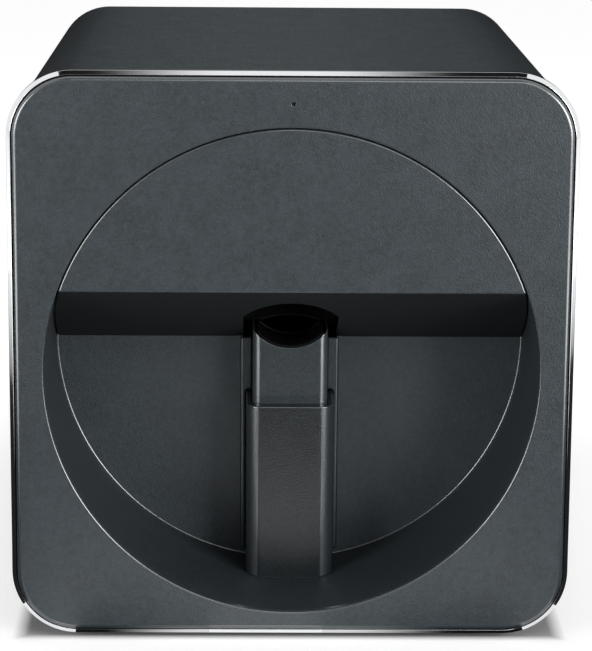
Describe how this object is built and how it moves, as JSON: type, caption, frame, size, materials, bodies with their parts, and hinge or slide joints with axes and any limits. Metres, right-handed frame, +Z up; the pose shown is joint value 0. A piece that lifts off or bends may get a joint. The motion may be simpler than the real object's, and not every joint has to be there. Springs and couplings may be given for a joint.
{
  "type": "digital nail art printer",
  "caption": "Desktop nail printer: rounded dark case with chrome trim, round hand recess, slanted hood, sprung finger rest, and a belt and screw driven inkjet inside.",
  "frame": {"origin": "on the table under the middle of the case", "axes": "+Z up, -Y out of the front panel, +X to the viewer's right when facing the front"},
  "size_m": [0.206, 0.256, 0.213],
  "materials": {
    "case_plastic": "fine-textured dark slate plastic",
    "trim_chrome": "polished",
    "inner_plastic": "moulded black plastic",
    "lining": "soft black lining",
    "rubber": "moulded rubber",
    "steel": "bright zinc-plated",
    "rod_steel": "ground and polished",
    "frame_metal": "powder coated grey",
    "motor_metal": "satin",
    "brass": "machined",
    "belt": "moulded",
    "cartridge": "semi-gloss",
    "board_green": "solder mask",
    "board_white": "white solder mask",
    "lens_glass": "coated",
    "light_pipe": "smoked clear"
  },
  "bodies": {
    "case": {"front_panel": "case_plastic", "trim_ring": "trim_chrome", "wrap_cover": "case_plastic", "base_plate": "inner_plastic", "rear_panel": "case_plastic", "door_pins": "steel", "catch_magnet": "frame_metal", "rubber_feet": "rubber", "base_screws": "steel", "rear_screws": "steel", "power_switch": "inner_plastic", "power_jack": "inner_plastic", "status_lens": "light_pipe", "status_board": "board_green", "hand_well": "case_plastic", "hood_shell": "case_plastic", "tunnel_liner": "case_plastic", "nail_stop": "case_plastic", "well_screws": "steel", "hood_screws": "steel", "finger_sleeve": "case_plastic", "rest_spring": "steel", "spring_post": "inner_plastic", "stop_pin": "steel", "left_frame": "frame_metal", "right_frame": "frame_metal", "frame_screws": "steel", "y_rods": "rod_steel", "y_motor": "motor_metal", "cap_stand": "inner_plastic", "rubber_cap": "rubber", "camera_bracket": "inner_plastic", "camera_body": "inner_plastic", "camera_lens": "lens_glass", "light_board": "board_white", "main_board": "board_green", "heat_sink": "motor_metal"},
    "finger_rest": {"finger_rest": "case_plastic", "finger_pad": "lining"},
    "rear_door": {"rear_door": "case_plastic", "catch_plate": "steel"},
    "power_button": {"power_button": "inner_plastic"},
    "gantry": {"gantry_left": "inner_plastic", "gantry_right": "inner_plastic", "gantry_bushes": "brass", "x_rods": "rod_steel", "x_motor": "motor_metal", "idler_pin": "steel", "drive_belt": "belt", "lead_nut": "brass"},
    "drive_pulley": {"motor_shaft": "steel", "drive_pulley": "motor_metal"},
    "idler_pulley": {"idler_pulley": "motor_metal"},
    "lead_screw": {"lead_screw": "rod_steel"},
    "carriage": {"belt_clamp": "inner_plastic", "carriage": "inner_plastic", "carriage_bushes": "brass", "ink_cartridge": "cartridge", "latch_pin": "steel"},
    "cartridge_latch": {"cartridge_latch": "inner_plastic"}
  },
  "joints": [
    {"name": "finger_rest_slide", "type": "slide", "parent": "case", "child": "finger_rest", "axis": [0, 0, -1], "range_m": [0, 0.012], "stiffness_N_per_m": 250, "springref_m": -0.006, "deforming": ["rest_spring"]},
    {"name": "rear_door_hinge", "type": "hinge", "parent": "case", "child": "rear_door", "pos_m": [0, 0.126, 0.1123], "axis": [-1, 0, 0], "range_deg": [0, 90]},
    {"name": "power_button_press", "type": "slide", "parent": "case", "child": "power_button", "axis": [0, -1, 0], "range_m": [0, 0.0015], "stiffness_N_per_m": 400, "springref_m": -0.002},
    {"name": "gantry_slide", "type": "slide", "parent": "case", "child": "gantry", "axis": [0, -1, 0], "range_m": [0, 0.028]},
    {"name": "lead_screw_spin", "type": "hinge", "parent": "case", "child": "lead_screw", "pos_m": [0.084, 0, 0.128], "axis": [0, 1, 0], "range_deg": [-5, 1265]},
    {"name": "carriage_slide", "type": "slide", "parent": "gantry", "child": "carriage", "axis": [1, 0, 0], "range_m": [-0.074, 0]},
    {"name": "drive_pulley_spin", "type": "hinge", "parent": "gantry", "child": "drive_pulley", "pos_m": [-0.08, -0.0555, 0.16], "axis": [0, 1, 0], "range_deg": [-625, 5]},
    {"name": "idler_pulley_spin", "type": "hinge", "parent": "gantry", "child": "idler_pulley", "pos_m": [0.084, -0.0555, 0.16], "axis": [0, 1, 0], "range_deg": [-625, 5]},
    {"name": "cartridge_latch_hinge", "type": "hinge", "parent": "carriage", "child": "cartridge_latch", "pos_m": [0.052, -0.031, 0.1882], "axis": [1, 0, 0], "range_deg": [0, 14]}
  ],
  "couplings": [
    {"joint": "lead_screw_spin", "follows": "gantry_slide", "rad_per_m": 785.4},
    {"joint": "drive_pulley_spin", "follows": "carriage_slide", "rad_per_m": 144.93},
    {"joint": "idler_pulley_spin", "follows": "carriage_slide", "rad_per_m": 144.93}
  ]
}
